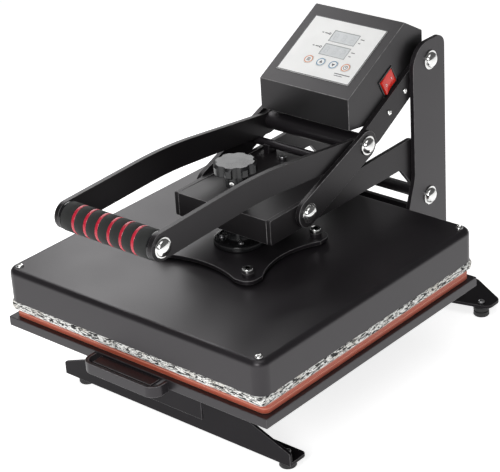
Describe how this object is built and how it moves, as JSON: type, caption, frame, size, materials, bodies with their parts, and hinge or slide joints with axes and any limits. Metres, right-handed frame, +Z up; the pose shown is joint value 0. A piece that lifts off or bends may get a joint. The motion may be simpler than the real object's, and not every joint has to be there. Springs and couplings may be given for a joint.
{
  "type": "heat press",
  "caption": "Clamshell heat press: heated platen in a flat cover on a toggle arm, slide-out lower platen with silicone pad, foam-grip handle and tilted control box.",
  "frame": {"origin": "floor level, under the middle of the machine's outline", "axes": "+X the machine's right, +Y its back, +Z up"},
  "size_m": [0.3908, 0.5492, 0.3875],
  "materials": {
    "powder_black": "satin textured powder coat",
    "case_black": "fine satin powder coat",
    "polished_steel": "polished bolt heads and washers",
    "plain_steel": "machined steel",
    "bronze": "sintered bronze",
    "aluminium": "milled",
    "wrap_mottled": "crinkled glass cloth, mottled black and white",
    "insulation": "ceramic fibre mat",
    "silicone": "matt orange-red silicone",
    "foam_grey": "closed-cell foam",
    "ring_red": "glossy",
    "gloss_black": "glossy moulded plastic",
    "rocker_red": "translucent red",
    "panel_white": "printed membrane",
    "window_grey": "display window",
    "board_green": "circuit board",
    "rubber_black": "moulded rubber"
  },
  "bodies": {
    "frame": {"front_cross_bar": "powder_black", "rear_foot_plate": "powder_black", "slide_rail_left": "powder_black", "slide_rail_right": "powder_black", "upright_left": "powder_black", "upright_right": "powder_black", "rear_tie_bar": "powder_black", "rubber_feet": "rubber_black", "foot_screws": "plain_steel", "upper_pivot_bolts": "polished_steel", "lower_pivot_bolts": "polished_steel", "pivot_bushes": "bronze"},
    "press_arm": {"arm_plate_left": "powder_black", "arm_plate_right": "powder_black", "pressure_beam": "powder_black", "screw_nut": "plain_steel", "hinge_tube": "powder_black", "stop_rod": "powder_black"},
    "platen_unit": {"thrust_boss": "powder_black", "spreader_plate": "powder_black", "spreader_standoffs": "powder_black", "spreader_bolts": "polished_steel", "cover": "powder_black", "cover_screws": "polished_steel", "insulation_mat": "insulation", "heating_element": "plain_steel", "heat_platen": "aluminium", "edge_wrap": "wrap_mottled", "thermocouple": "plain_steel"},
    "pressure_knob": {"knob": "gloss_black", "pressure_screw": "plain_steel"},
    "toggle_links": {"link_left": "powder_black", "link_right": "powder_black", "link_bolts": "polished_steel"},
    "handle_lever": {"lever_left": "powder_black", "lever_right": "powder_black", "grip_tube": "plain_steel", "grip_foam": "foam_grey", "grip_rings": "ring_red", "elbow_tube": "powder_black", "grip_bolts": "polished_steel", "control_case": "case_black", "case_base": "powder_black", "display_panel": "panel_white", "display_windows": "window_grey", "circuit_board": "board_green", "transformer": "plain_steel", "cord_gland": "gloss_black", "case_screws": "polished_steel", "switch_bezel": "gloss_black"},
    "switch_rocker": {"power_rocker": "rocker_red"},
    "drawer": {"lower_platen": "powder_black", "silicone_pad": "silicone", "pull_handle": "powder_black", "runner_left": "powder_black", "runner_right": "powder_black"},
    "key_set_body": {"key_set": "panel_white"},
    "key_up_body": {"key_up": "panel_white"},
    "key_down_body": {"key_down": "panel_white"},
    "key_timer_body": {"key_timer": "panel_white"}
  },
  "joints": [
    {"name": "press_hinge", "type": "hinge", "parent": "frame", "child": "press_arm", "pos_m": [0, 0.2026, 0.1585], "axis": [-1, 0, 0], "range_deg": [0, 28.73]},
    {"name": "lever_hinge", "type": "hinge", "parent": "frame", "child": "handle_lever", "pos_m": [0, 0.2076, 0.3336], "axis": [-1, 0, 0], "range_deg": [0, 68.01]},
    {"name": "link_hinge", "type": "hinge", "parent": "press_arm", "child": "toggle_links", "pos_m": [0, -0.0284, 0.2265], "axis": [1, 0, 0], "range_deg": [0, 62.62]},
    {"name": "platen_lift", "type": "slide", "parent": "press_arm", "child": "platen_unit", "axis": [0, 0, 1], "range_m": [0, 0.004]},
    {"name": "knob_turn", "type": "hinge", "parent": "platen_unit", "child": "pressure_knob", "pos_m": [0, -0.0604, 0.25], "axis": [0, 0, 1], "range_deg": [0, 721]},
    {"name": "drawer_slide", "type": "slide", "parent": "frame", "child": "drawer", "axis": [0, -1, 0], "range_m": [0, 0.24]},
    {"name": "rocker_tilt", "type": "hinge", "parent": "handle_lever", "child": "switch_rocker", "pos_m": [0.0655, 0.1396, 0.326], "axis": [0, 0.47, -0.8827], "range_deg": [0, 12]},
    {"name": "key_set_press", "type": "slide", "parent": "handle_lever", "child": "key_set_body", "axis": [0, 0.47, -0.8827], "range_m": [0, 0.0006], "stiffness_N_per_m": 300},
    {"name": "key_up_press", "type": "slide", "parent": "handle_lever", "child": "key_up_body", "axis": [0, 0.47, -0.8827], "range_m": [0, 0.0006], "stiffness_N_per_m": 300},
    {"name": "key_down_press", "type": "slide", "parent": "handle_lever", "child": "key_down_body", "axis": [0, 0.47, -0.8827], "range_m": [0, 0.0006], "stiffness_N_per_m": 300},
    {"name": "key_timer_press", "type": "slide", "parent": "handle_lever", "child": "key_timer_body", "axis": [0, 0.47, -0.8827], "range_m": [0, 0.0006], "stiffness_N_per_m": 300}
  ],
  "couplings": [
    {"joint": "lever_hinge", "follows": "press_hinge", "ratio": 2.3665},
    {"joint": "link_hinge", "follows": "press_hinge", "ratio": 2.1791},
    {"joint": "knob_turn", "follows": "platen_lift", "rad_per_m": 3141.6}
  ]
}
